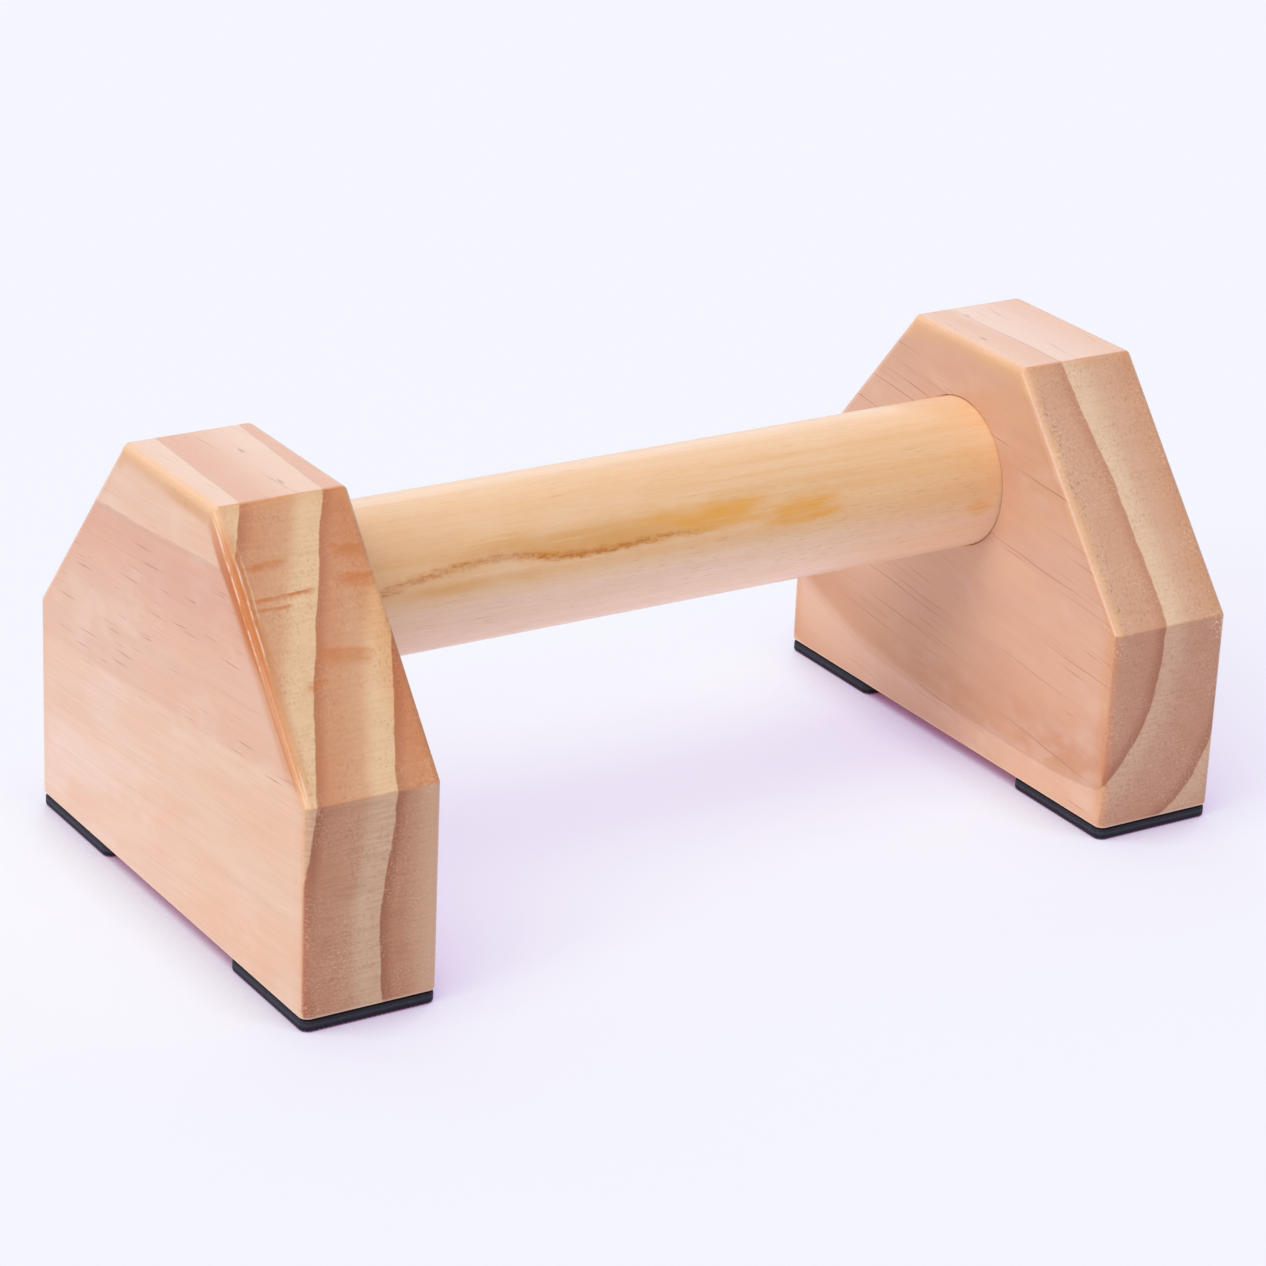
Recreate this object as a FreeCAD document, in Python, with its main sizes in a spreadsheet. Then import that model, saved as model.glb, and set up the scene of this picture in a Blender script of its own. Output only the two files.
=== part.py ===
import FreeCAD, Part
import os
import Sketcher
from FreeCAD import Rotation, Vector

# A low wooden parallette bar: a round grip bar glued into blind sockets in two
# end blocks, with a rubber foot pad stuck under each end of each block.
# All sizes are millimetres. X runs along the grip bar, Y across the blocks and
# Z up. The origin is on the floor, under the middle of the grip bar.

SIZES = (
    ("block_thickness", 36, "end block, inner broad face to outer broad face"),
    ("block_base_width", 144, "end block across its underside"),
    ("block_top_width", 48, "flat top between the two slopes"),
    ("block_height", 111, "end block, underside to flat top"),
    ("block_side_height", 54, "upright side below each slope"),
    ("round_over_radius", 2.4, "round-over along the edges of both broad faces"),
    ("arris_radius", 1, "sanded arris between top, slopes and sides"),
    ("underside_arris_radius", 0.6, "sanded arris round the underside"),
    ("grip_length", 196, "bare grip bar between the two blocks"),
    ("grip_diameter", 40, "grip bar"),
    ("grip_axis_height", 75, "grip bar axis above the underside of the blocks"),
    ("grip_end_chamfer", 1.2, "chamfer that leads each bar end into its socket"),
    ("socket_depth", 22, "blind socket in the inner face of each block"),
    ("socket_mouth_chamfer", 0.3, "eased edge of the socket's mouth"),
    ("socket_side_clearance", 0.1, "glue gap all round the bar in its socket"),
    ("socket_end_clearance", 0.5, "glue gap behind each end of the bar"),
    ("pad_length", 38, "foot pad along the width of its block"),
    ("pad_thickness", 3, "foot pad"),
    ("pad_setback", 0.2, "edge of a foot pad inside the faces of its block"),
    ("pad_corner_radius", 2.4, "upright corners of a foot pad"),
    ("pad_rim_chamfer", 0.5, "trimmed upper and lower rims of a foot pad"),
    ("adhesive_thickness", 0.4, "adhesive sheet between pad and block"),
    ("adhesive_inset", 1.2, "edge of an adhesive sheet inside the edge of its pad"),
)

# How close two places are to count as the same place.
SAME_PLACE = 1e-4

# How far a bored volume may be from its worked-out volume.
VOLUME_SHARE = 1e-3

UNDERSIDE = "(Sizes.pad_thickness + Sizes.adhesive_thickness)"
BLOCK_MIDDLE = "(Sizes.grip_length + Sizes.block_thickness) / 2"
PAD_MIDDLE = "(Sizes.block_base_width - Sizes.pad_length) / 2 - Sizes.pad_setback"
PAD_WIDTH = "(Sizes.block_thickness - 2 * Sizes.pad_setback)"
SOCKET_DIAMETER = "(Sizes.grip_diameter + 2 * Sizes.socket_side_clearance)"
BAR_LENGTH = "(Sizes.grip_length + 2 * (Sizes.socket_depth - Sizes.socket_end_clearance))"
SHEET_LENGTH = "(Sizes.pad_length - 2 * Sizes.adhesive_inset)"
SHEET_WIDTH = f"({PAD_WIDTH} - 2 * Sizes.adhesive_inset)"

# How a sketch numbers the points of a line or circle, its origin and its axes.
START, END, CENTRE = range(1, 4)
SKETCH_ORIGIN = (-1, 1)
SKETCH_X_AXIS, SKETCH_Y_AXIS = range(-1, -3, -1)

ALONG_X, ALONG_Y, ALONG_Z = range(3)
HALF_TURN = 180
FULL_TURN = 360


def write_sizes(doc):
    """Put the driving dimensions into a spreadsheet, one named cell each."""
    sheet = doc.addObject("Spreadsheet::Sheet", "Sizes")
    for row, (name, value, meaning) in enumerate(SIZES, start=1):
        sheet.set(f"A{row}", meaning)
        sheet.set(f"B{row}", str(value))
        sheet.setAlias(f"B{row}", name)
    doc.recompute()
    return sheet


def bind(item, **expressions):
    """Tie properties of an object to the spreadsheet."""
    for name, expression in expressions.items():
        item.setExpression(name, expression)


def place(item, x="0", y="0", z="0"):
    """Tie the position of a sub-part to the spreadsheet."""
    for axis, expression in (("x", x), ("y", y), ("z", z)):
        item.setExpression(f"Placement.Base.{axis}", expression)


def new_body(doc, label):
    """Start a sub-part whose label names its file."""
    body = doc.addObject("PartDesign::Body", label)
    body.Label = label
    return body


def new_sketch(body, role, name):
    """Start a sketch on one of the body's own origin planes."""
    sketch = body.newObject("Sketcher::SketchObject", name)
    plane = next(item for item in body.Origin.OriginFeatures if item.Role == role)
    sketch.AttachmentSupport = [(plane, "")]
    sketch.MapMode = "FlatFace"
    return sketch


def dimension(sketch, name, expression, *constraint):
    """Add a named sketch dimension that follows an expression."""
    number = sketch.addConstraint(Sketcher.Constraint(*constraint))
    sketch.renameConstraint(number, name)
    sketch.setExpression(f"Constraints.{name}", expression)


def draw_loop(sketch, corners):
    """Draw a closed chain of lines through the corners."""
    count = len(corners)
    points = [Vector(x, y, 0) for x, y in corners]
    for number, point in enumerate(points):
        sketch.addGeometry(Part.LineSegment(point, points[(number + 1) % count]))
    for number in range(count):
        following = (number + 1) % count
        sketch.addConstraint(Sketcher.Constraint("Coincident", number, END, following, START))


def pad_sketch(body, sketch, name, length):
    """Thicken a sketch into a solid."""
    pad = body.newObject("PartDesign::Pad", name)
    pad.Profile = sketch
    bind(pad, Length=length)
    body.Document.recompute()
    return pad


def lies_at(edge, axis, position):
    """Tell whether an edge stays at one position along an axis."""
    middle = edge.valueAt((edge.FirstParameter + edge.LastParameter) / 2)
    points = [vertex.Point for vertex in edge.Vertexes] + [middle]
    return all(abs(point[axis] - position) < SAME_PLACE for point in points)


def runs_along(edge, axis):
    """Tell whether an edge is straight and parallel to an axis."""
    others = [other for other in (ALONG_X, ALONG_Y, ALONG_Z) if other != axis]
    start = edge.Vertexes[0].Point
    return all(lies_at(edge, other, start[other]) for other in others)


def ease_edges(body, base, kind, name, chosen, **sizes):
    """Fillet or chamfer the chosen edges of a feature."""
    names = [
        f"Edge{number}"
        for number, edge in enumerate(base.Shape.Edges, start=1)
        if chosen(edge)
    ]
    eased = body.newObject(kind, name)
    eased.Base = (base, names)
    bind(eased, **sizes)
    body.Document.recompute()
    return eased


def draw_block_outline(body, sheet):
    """Draw the six-sided block: upright sides, two slopes and a flat top."""
    half_base = sheet.block_base_width / 2
    half_top = sheet.block_top_width / 2
    side = sheet.block_side_height
    height = sheet.block_height
    corners = (
        (-half_base, 0), (half_base, 0), (half_base, side),
        (half_top, height), (-half_top, height), (-half_base, side),
    )
    sketch = new_sketch(body, "YZ_Plane", "BlockOutline")
    draw_loop(sketch, corners)
    underside, back_side, _, top, _, front_side = range(len(corners))
    sketch.addConstraint([
        Sketcher.Constraint("Symmetric", underside, START, underside, END, SKETCH_Y_AXIS),
        Sketcher.Constraint("PointOnObject", underside, START, SKETCH_X_AXIS),
        Sketcher.Constraint("Symmetric", top, START, top, END, SKETCH_Y_AXIS),
        Sketcher.Constraint("Vertical", back_side),
        Sketcher.Constraint("Vertical", front_side),
        Sketcher.Constraint("Equal", back_side, front_side),
    ])
    dimension(sketch, "base_width", "Sizes.block_base_width",
              "DistanceX", underside, START, underside, END, sheet.block_base_width)
    dimension(sketch, "top_width", "Sizes.block_top_width",
              "DistanceX", top, END, top, START, sheet.block_top_width)
    dimension(sketch, "side_height", "Sizes.block_side_height",
              "DistanceY", back_side, START, back_side, END, side)
    dimension(sketch, "height", "Sizes.block_height",
              "DistanceY", underside, END, top, START, height)
    return sketch


def bore_socket(body, sheet):
    """Bore the blind socket, with an eased mouth, into the inner face on the bar's axis."""
    wood = body.Shape.copy()
    radius = sheet.grip_diameter / 2 + sheet.socket_side_clearance
    depth = sheet.socket_depth
    ease = sheet.socket_mouth_chamfer
    sketch = new_sketch(body, "XZ_Plane", "SocketProfile")
    bind(sketch, **{"AttachmentOffset.Base.y": "Sizes.grip_axis_height"})
    corners = ((0, 0), (0, radius + ease), (ease, radius), (depth, radius), (depth, 0))
    draw_loop(sketch, corners)
    mouth, eased, wall, end, axis = range(len(corners))
    sketch.addConstraint([
        Sketcher.Constraint("Coincident", mouth, START, *SKETCH_ORIGIN),
        Sketcher.Constraint("Vertical", mouth),
        Sketcher.Constraint("Horizontal", wall),
        Sketcher.Constraint("Vertical", end),
        Sketcher.Constraint("Horizontal", axis),
    ])
    dimension(sketch, "depth", "Sizes.socket_depth",
              "DistanceX", axis, END, axis, START, depth)
    dimension(sketch, "radius", f"{SOCKET_DIAMETER} / 2",
              "DistanceY", end, END, end, START, radius)
    dimension(sketch, "ease_depth", "Sizes.socket_mouth_chamfer",
              "DistanceX", eased, START, eased, END, ease)
    dimension(sketch, "ease_height", "Sizes.socket_mouth_chamfer",
              "DistanceY", eased, END, eased, START, ease)
    socket = body.newObject("PartDesign::Groove", "Socket")
    socket.Profile = sketch
    socket.ReferenceAxis = (sketch, ["H_Axis"])
    socket.Angle = FULL_TURN
    body.Document.recompute()

    middle = Vector(0, 0, sheet.grip_axis_height)
    inward = Vector(1, 0, 0)
    bore = Part.makeCylinder(radius, depth, middle, inward)
    cone = Part.makeCone(radius + ease, radius, ease, middle, inward)
    bored = wood.Volume - body.Shape.Volume
    expected = wood.common(bore.fuse(cone)).Volume
    if abs(bored - expected) > VOLUME_SHARE * expected:
        raise RuntimeError(f"{body.Label}: the socket took {bored} and not {expected}")


def make_end_block(doc, sheet, label, side):
    """Make an end block, inner face on its own YZ plane, and set it on one side.

    The edges of both broad faces have a router's round-over, which runs along
    each straight edge and meets the next one in a mitre. The cross edges between
    top, slopes and sides, and the underside's edges, are only sanded.
    """
    body = new_body(doc, label)
    outline = draw_block_outline(body, sheet)
    blank = pad_sketch(body, outline, "Blank", "Sizes.block_thickness")

    def is_cross_edge(edge):
        return runs_along(edge, ALONG_X) and not lies_at(edge, ALONG_Z, 0)

    def is_underside_edge(edge):
        return lies_at(edge, ALONG_Z, 0)

    def is_broad_face_edge(edge):
        on_face = lies_at(edge, ALONG_X, 0) or lies_at(edge, ALONG_X, sheet.block_thickness)
        return on_face and not is_underside_edge(edge)

    rounded = ease_edges(body, blank, "PartDesign::Fillet", "RoundOver",
                         is_broad_face_edge, Radius="Sizes.round_over_radius")
    sanded = ease_edges(body, rounded, "PartDesign::Fillet", "CrossArrises",
                        is_cross_edge, Radius="Sizes.arris_radius")
    ease_edges(body, sanded, "PartDesign::Fillet", "UndersideArrises",
               is_underside_edge, Radius="Sizes.underside_arris_radius")
    bore_socket(body, sheet)
    if side < 0:
        body.Placement.Rotation = Rotation(Vector(0, 0, 1), HALF_TURN)
    place(body, x=f"{side} * Sizes.grip_length / 2", z=UNDERSIDE)
    return body


def make_grip_bar(doc, sheet):
    """Make the round bar, long enough to reach into both sockets."""
    body = new_body(doc, "grip_bar")
    sketch = new_sketch(body, "YZ_Plane", "BarCircle")
    diameter = sheet.grip_diameter
    circle = sketch.addGeometry(Part.Circle(Vector(0, 0, 0), Vector(0, 0, 1), diameter / 2))
    sketch.addConstraint(Sketcher.Constraint("Coincident", circle, CENTRE, *SKETCH_ORIGIN))
    dimension(sketch, "diameter", "Sizes.grip_diameter", "Diameter", circle, diameter)
    bar = pad_sketch(body, sketch, "Bar", BAR_LENGTH)
    ease_edges(body, bar, "PartDesign::Chamfer", "EndChamfers",
               lambda edge: edge.isClosed(), Size="Sizes.grip_end_chamfer")
    place(body, x=f"-{BAR_LENGTH} / 2", z=f"{UNDERSIDE} + Sizes.grip_axis_height")
    return body


def make_foot_pad(doc, sheet, label, side, end):
    """Make a foot pad with rounded corners and trimmed rims, under one end of a block."""
    body = new_body(doc, label)
    half_width = sheet.block_thickness / 2 - sheet.pad_setback
    half_length = sheet.pad_length / 2
    corners = (
        (-half_width, -half_length), (half_width, -half_length),
        (half_width, half_length), (-half_width, half_length),
    )
    sketch = new_sketch(body, "XY_Plane", "PadOutline")
    draw_loop(sketch, corners)
    near, right, far, _ = range(len(corners))
    sketch.addConstraint([
        Sketcher.Constraint("Horizontal", near),
        Sketcher.Constraint("Horizontal", far),
        Sketcher.Constraint("Vertical", right),
        Sketcher.Constraint("Symmetric", near, START, far, START, *SKETCH_ORIGIN),
    ])
    dimension(sketch, "width", PAD_WIDTH,
              "DistanceX", near, START, near, END, 2 * half_width)
    dimension(sketch, "length", "Sizes.pad_length",
              "DistanceY", right, START, right, END, sheet.pad_length)
    blank = pad_sketch(body, sketch, "Blank", "Sizes.pad_thickness")

    def is_upright(edge):
        return runs_along(edge, ALONG_Z)

    def is_rim(edge):
        return lies_at(edge, ALONG_Z, 0) or lies_at(edge, ALONG_Z, sheet.pad_thickness)

    cornered = ease_edges(body, blank, "PartDesign::Fillet", "Corners",
                          is_upright, Radius="Sizes.pad_corner_radius")
    ease_edges(body, cornered, "PartDesign::Chamfer", "Rims",
               is_rim, Size="Sizes.pad_rim_chamfer")
    place(body, x=f"{side} * {BLOCK_MIDDLE}", y=f"{end} * ({PAD_MIDDLE})")
    return body


def make_adhesive_sheet(doc, label, side, end):
    """Make the thin adhesive sheet that holds a foot pad to its block."""
    adhesive = doc.addObject("Part::Box", label)
    adhesive.Label = label
    bind(adhesive, Length=SHEET_WIDTH, Width=SHEET_LENGTH, Height="Sizes.adhesive_thickness")
    place(adhesive,
          x=f"{side} * {BLOCK_MIDDLE} - {SHEET_WIDTH} / 2",
          y=f"{end} * ({PAD_MIDDLE}) - {SHEET_LENGTH} / 2",
          z="Sizes.pad_thickness")
    return adhesive


def check_model(doc, pieces):
    """Stop if any object failed or any sub-part is not one sound solid."""
    for item in doc.Objects:
        if "Invalid" in item.State or "Error" in item.State:
            raise RuntimeError(f"{item.Label} could not be built: {item.State}")
    for piece in pieces:
        shape = piece.Shape
        if shape.isNull() or not shape.isValid() or len(shape.Solids) != 1:
            raise RuntimeError(f"{piece.Label} is not one sound solid")


def build():
    """Build every sub-part and write each to its own file."""
    doc = FreeCAD.newDocument("ParalletteBar")
    sheet = write_sizes(doc)
    pieces = [make_grip_bar(doc, sheet)]
    for side_name, side in (("left", -1), ("right", 1)):
        pieces.append(make_end_block(doc, sheet, f"{side_name}_end_block", side))
        for end_name, end in (("front", -1), ("back", 1)):
            pad_label = f"{side_name}_{end_name}_foot_pad"
            pieces.append(make_foot_pad(doc, sheet, pad_label, side, end))
            sheet_label = f"{side_name}_{end_name}_adhesive_sheet"
            pieces.append(make_adhesive_sheet(doc, sheet_label, side, end))
    doc.recompute()
    check_model(doc, pieces)
    os.makedirs("parts", exist_ok=True)
    for piece in pieces:
        piece.Shape.exportStep(f"parts/{piece.Label}.step")
        print(f"{piece.Label}: {piece.Shape.Volume:.1f} cubic mm")


build()
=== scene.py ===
import math
from types import SimpleNamespace

import bmesh
import bpy
from mathutils import Matrix, Vector


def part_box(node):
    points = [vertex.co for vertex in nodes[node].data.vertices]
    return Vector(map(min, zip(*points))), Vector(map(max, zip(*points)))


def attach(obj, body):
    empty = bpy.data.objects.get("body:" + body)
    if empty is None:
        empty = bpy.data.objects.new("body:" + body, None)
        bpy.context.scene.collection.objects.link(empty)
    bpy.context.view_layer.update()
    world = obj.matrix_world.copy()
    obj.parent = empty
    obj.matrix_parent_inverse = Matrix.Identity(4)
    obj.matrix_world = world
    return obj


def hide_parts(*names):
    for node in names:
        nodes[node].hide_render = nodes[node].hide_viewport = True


# A low wooden parallette bar: two lacquered pine end blocks, a turned pine grip bar and
# four black rubber foot pads. Places are metres; inside the materials they are millimetres.

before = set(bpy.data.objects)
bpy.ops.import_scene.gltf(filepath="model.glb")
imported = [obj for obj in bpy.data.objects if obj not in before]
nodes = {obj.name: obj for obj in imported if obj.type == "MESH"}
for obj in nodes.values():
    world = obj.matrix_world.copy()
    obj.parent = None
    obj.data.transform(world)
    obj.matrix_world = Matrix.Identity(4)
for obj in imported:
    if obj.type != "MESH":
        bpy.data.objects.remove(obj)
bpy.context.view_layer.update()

MILLIMETRES = 1000
VALUE = "NodeSocketFloat"
VECTOR = "NodeSocketVector"

# The block's outline: upright ends, two slopes and a flat top
block_low, block_high = (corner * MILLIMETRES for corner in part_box("left_end_block"))
BLOCK_THICKNESS = block_high.x - block_low.x
BLOCK_HALF_WIDTH = block_high.y
BLOCK_HEIGHT = block_high.z - block_low.z
BLOCK_SIDE_HEIGHT = 54
BLOCK_TOP_HALF_WIDTH = 24

# Along Y, from the front half of a block to its back
FRONT_TO_BACK = (-20, 50)


def seen(red, green, blue):
    """Turn a colour as a screen shows it, 0 to 255, into a shader's linear colour."""
    def linear(level):
        level /= 255
        return level / 12.92 if level <= 0.04045 else ((level + 0.055) / 1.055) ** 2.4
    return (linear(red), linear(green), linear(blue), 1)


class Graph:
    """A node tree, with short ways to add the nodes that the finishes are made of."""

    def __init__(self, tree):
        self.tree = tree

    def add(self, kind, inputs=None, **options):
        node = self.tree.nodes.new(kind)
        for name, value in options.items():
            setattr(node, name, value)
        for key, value in (inputs or {}).items():
            if isinstance(value, bpy.types.NodeSocket):
                self.tree.links.new(value, node.inputs[key])
            else:
                node.inputs[key].default_value = value
        return node

    def use(self, group, inputs):
        return self.add("ShaderNodeGroup", inputs, node_tree=group).outputs

    def maths(self, operation, *terms):
        return self.add("ShaderNodeMath", dict(enumerate(terms)), operation=operation).outputs[0]

    def product(self, first, *others):
        for other in others:
            first = self.maths("MULTIPLY", first, other)
        return first

    def ease(self, value, low, high, out_low=0, out_high=1):
        """Go smoothly from one level to another as a value goes from low to high."""
        limits = {"Value": value, "From Min": low, "From Max": high, "To Min": out_low, "To Max": out_high}
        return self.add("ShaderNodeMapRange", limits, interpolation_type="SMOOTHSTEP").outputs["Result"]

    def stripe(self, value, middle, half_width):
        """Peak at the middle and fall away to nothing at the half width."""
        away = self.maths("ABSOLUTE", self.maths("SUBTRACT", value, middle))
        return self.ease(away, 0, half_width, 1, 0)

    def between(self, value, low, high, soft):
        """Full between two limits, with soft ends."""
        rise = self.ease(value, low - soft, low + soft)
        return self.product(rise, self.ease(value, high - soft, high + soft, 1, 0))

    def blend(self, amount, first, second, mode="MIX"):
        sockets = {0: amount, 6: first, 7: second}
        return self.add("ShaderNodeMix", sockets, data_type="RGBA", blend_type=mode).outputs[2]

    def stretch(self, position, lengths):
        """Divide a position by the lengths over which a texture should change."""
        return self.add("ShaderNodeVectorMath", {0: position, 1: lengths}, operation="DIVIDE").outputs[0]

    def noise(self, position, lengths, detail=2, roughness=0.5):
        place = self.stretch(position, lengths)
        sockets = {"Vector": place, "Scale": 1, "Detail": detail, "Roughness": roughness}
        return self.add("ShaderNodeTexNoise", sockets).outputs["Fac"]

    def sway(self, position, lengths, reach, detail=2, roughness=0.5):
        """Noise that swings about 0, half the reach to either side."""
        return self.maths("MULTIPLY_ADD", self.noise(position, lengths, detail, roughness), reach, -reach / 2)

    def line_through(self, value, points):
        """Follow a smooth line through points, each a place and a level there."""
        low, high = points[0][0], points[-1][0]
        levels = [level for _, level in points]
        base, reach = min(levels), max(levels) - min(levels)
        share = self.maths("DIVIDE", self.maths("SUBTRACT", value, low), high - low)
        node = self.add("ShaderNodeFloatCurve", {"Value": share})
        curve = node.mapping.curves[0]
        spots = [((place - low) / (high - low), (level - base) / reach) for place, level in points]
        curve.points[0].location = spots[0]
        curve.points[1].location = spots[-1]
        for spot in spots[1:-1]:
            curve.points.new(*spot)
        node.mapping.update()
        return self.maths("MULTIPLY_ADD", node.outputs[0], reach, base)

    def patch(self, across, along, middle, reach, ragged):
        """A soft oval patch with a ragged edge."""
        first = self.maths("DIVIDE", self.maths("SUBTRACT", across, middle[0]), reach[0])
        second = self.maths("DIVIDE", self.maths("SUBTRACT", along, middle[1]), reach[1])
        away = self.maths("SQRT", self.maths("ADD", self.product(first, first), self.product(second, second)))
        return self.ease(self.maths("ADD", away, ragged), 0.2, 1.15, 1, 0)

    def position(self):
        """The place on the object in millimetres."""
        sockets = {0: self.add("ShaderNodeTexCoord").outputs["Object"], "Scale": MILLIMETRES}
        return self.add("ShaderNodeVectorMath", sockets, operation="SCALE").outputs[0]

    def facing(self):
        return self.add("ShaderNodeTexCoord").outputs["Normal"]

    def split(self, vector):
        return self.add("ShaderNodeSeparateXYZ", {0: vector}).outputs

    def join(self, x, y, z):
        return self.add("ShaderNodeCombineXYZ", {0: x, 1: y, 2: z}).outputs[0]


def start_group(name, inputs, outputs):
    """Start a shader node group with named inputs and outputs."""
    tree = bpy.data.node_groups.new(name, "ShaderNodeTree")
    for title, kind in inputs.items():
        tree.interface.new_socket(title, in_out="INPUT", socket_type=kind)
    for title in outputs:
        tree.interface.new_socket(title, in_out="OUTPUT", socket_type=VALUE)
    graph = Graph(tree)
    given = graph.add("NodeGroupInput").outputs
    results = graph.add("NodeGroupOutput").inputs

    def put_out(title, socket):
        tree.links.new(socket, results[title])

    return tree, graph, given, put_out


def make_growth_rings():
    """Growth rings: latewood is 1 just past a ring's edge and fades to 0 in the pale wood before the next."""
    inputs = {"Grain": VECTOR, "Depth": VALUE, "Spacing": VALUE, "Fade start": VALUE, "Fade end": VALUE,
              "Wobble": VALUE, "Soft edge": VALUE}
    tree, graph, given, put_out = start_group(
        "Growth rings", inputs, ("Latewood", "Soft latewood", "Ring edge", "Ring line"))
    quick_share, sharp = 0.35, 0.02
    slow = graph.noise(given["Grain"], (60, 14, 14), detail=1)
    quick = graph.noise(given["Grain"], (12, 3, 3), detail=2)
    wander = graph.maths("MULTIPLY_ADD", quick, quick_share, slow)
    wander = graph.maths("SUBTRACT", wander, (1 + quick_share) / 2)
    shifted = graph.maths("ADD", given["Depth"], graph.product(wander, given["Wobble"]))
    phase = graph.maths("FRACT", graph.maths("DIVIDE", shifted, given["Spacing"]))
    crisp = graph.ease(phase, 0, sharp)
    slow_fade = graph.ease(phase, 0.03, given["Fade end"], 1, 0.55)
    late = graph.product(slow_fade, graph.ease(phase, given["Fade start"], given["Fade end"], 1, 0))
    soft = graph.product(graph.ease(phase, 0.1, 0.95, 1, 0), graph.ease(phase, 0, given["Soft edge"]))
    put_out("Latewood", graph.product(late, crisp))
    put_out("Soft latewood", soft)
    put_out("Ring edge", graph.product(crisp, graph.ease(phase, sharp, 0.2, 1, 0)))
    put_out("Ring line", graph.stripe(phase, sharp, 0.035))
    return tree


def make_pine_fibre():
    """Long grain: fine lines, and a slow drift of tone along the fibres."""
    tree, graph, given, put_out = start_group("Pine fibre", {"Grain": VECTOR}, ("Lines", "Drift"))
    fine = graph.noise(given["Grain"], (22, 0.7, 0.7), detail=3, roughness=0.6)
    broad = graph.noise(given["Grain"], (80, 2.6, 2.6), detail=2)
    lines = graph.maths("MULTIPLY_ADD", broad, 0.4, graph.product(fine, 0.6))
    put_out("Lines", graph.ease(lines, 0.36, 0.64))
    put_out("Drift", graph.noise(given["Grain"], (44, 15, 15), detail=3))
    return tree


def make_resin_dashes():
    """Resin canals cut along their length: thin dark dashes along the grain, no two of one size."""
    inputs = {"Grain": VECTOR, "Amount": VALUE, "Length": VALUE, "Row": VALUE, "Thickness": VALUE}
    tree, graph, given, put_out = start_group("Resin dashes", inputs, ("Dashes",))
    along, first, second = graph.split(given["Grain"])
    bend = graph.maths("MULTIPLY", graph.noise(given["Grain"], (34, 12, 12)), 2.4)
    row = graph.maths("ADD", graph.maths("ADD", first, second), bend)
    place = graph.join(graph.maths("DIVIDE", along, given["Length"]),
                       graph.maths("DIVIDE", row, given["Row"]), 0)
    cells = graph.add("ShaderNodeTexVoronoi", {"Vector": place, "Scale": 1}, voronoi_dimensions="2D")
    chance = graph.add("ShaderNodeSeparateColor", {0: cells.outputs["Color"]}).outputs
    kept = graph.maths("LESS_THAN", chance[0], given["Amount"])
    size = graph.product(graph.maths("MULTIPLY_ADD", chance[1], 0.75, 0.35), given["Thickness"])
    dash = graph.ease(graph.maths("DIVIDE", cells.outputs["Distance"], size), 0.1, 1, 1, 0)
    put_out("Dashes", graph.product(dash, kept, graph.maths("MULTIPLY_ADD", chance[2], 0.6, 0.4)))
    return tree


def make_end_grain():
    """End grain: dark cut fibres, pale specks of dried lacquer between them and faint saw marks."""
    tree, graph, given, put_out = start_group(
        "End grain", {"Position": VECTOR}, ("Pores", "Specks", "Saw marks"))
    pore = graph.noise(given["Position"], (0.5, 0.7, 0.9), detail=2, roughness=0.6)
    thick = graph.noise(given["Position"], (6, 9, 9), detail=2)
    speck = graph.noise(given["Position"], (0.6, 0.6, 0.4), detail=2)
    cloud = graph.noise(given["Position"], (9, 9, 9), detail=2)
    put_out("Pores", graph.product(graph.ease(pore, 0.48, 0.74), graph.ease(thick, 0.34, 0.62, 0.3, 1)))
    put_out("Specks", graph.product(graph.ease(speck, 0.46, 0.72), graph.ease(cloud, 0.36, 0.6, 0.2, 1)))
    put_out("Saw marks", graph.noise(given["Position"], (6, 6, 0.5), detail=3, roughness=0.6))
    return tree


def make_block_faces():
    """Tell a block's end grain, its upright ends and its cross arrises by which way the surface faces."""
    tree, graph, given, put_out = start_group(
        "Block faces", {"Facing": VECTOR},
        ("End grain", "Upright", "Top", "Underside", "Top arris", "Middle arris"))
    across, along, up = graph.split(given["Facing"])
    end = graph.ease(graph.maths("ABSOLUTE", along), 0.25, 0.7)
    narrow = graph.ease(graph.maths("ABSOLUTE", across), 0.1, 0.5, 1, 0)
    put_out("End grain", end)
    put_out("Upright", graph.product(end, graph.ease(up, 0.05, 0.5, 1, 0)))
    put_out("Top", graph.ease(up, 0.75, 0.97))
    put_out("Underside", graph.ease(up, -0.9, -0.5, 1, 0))
    put_out("Top arris", graph.product(graph.between(up, 0.72, 0.95, 0.05), narrow))
    put_out("Middle arris", graph.product(graph.between(up, 0.08, 0.56, 0.06), narrow))
    return tree


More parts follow.
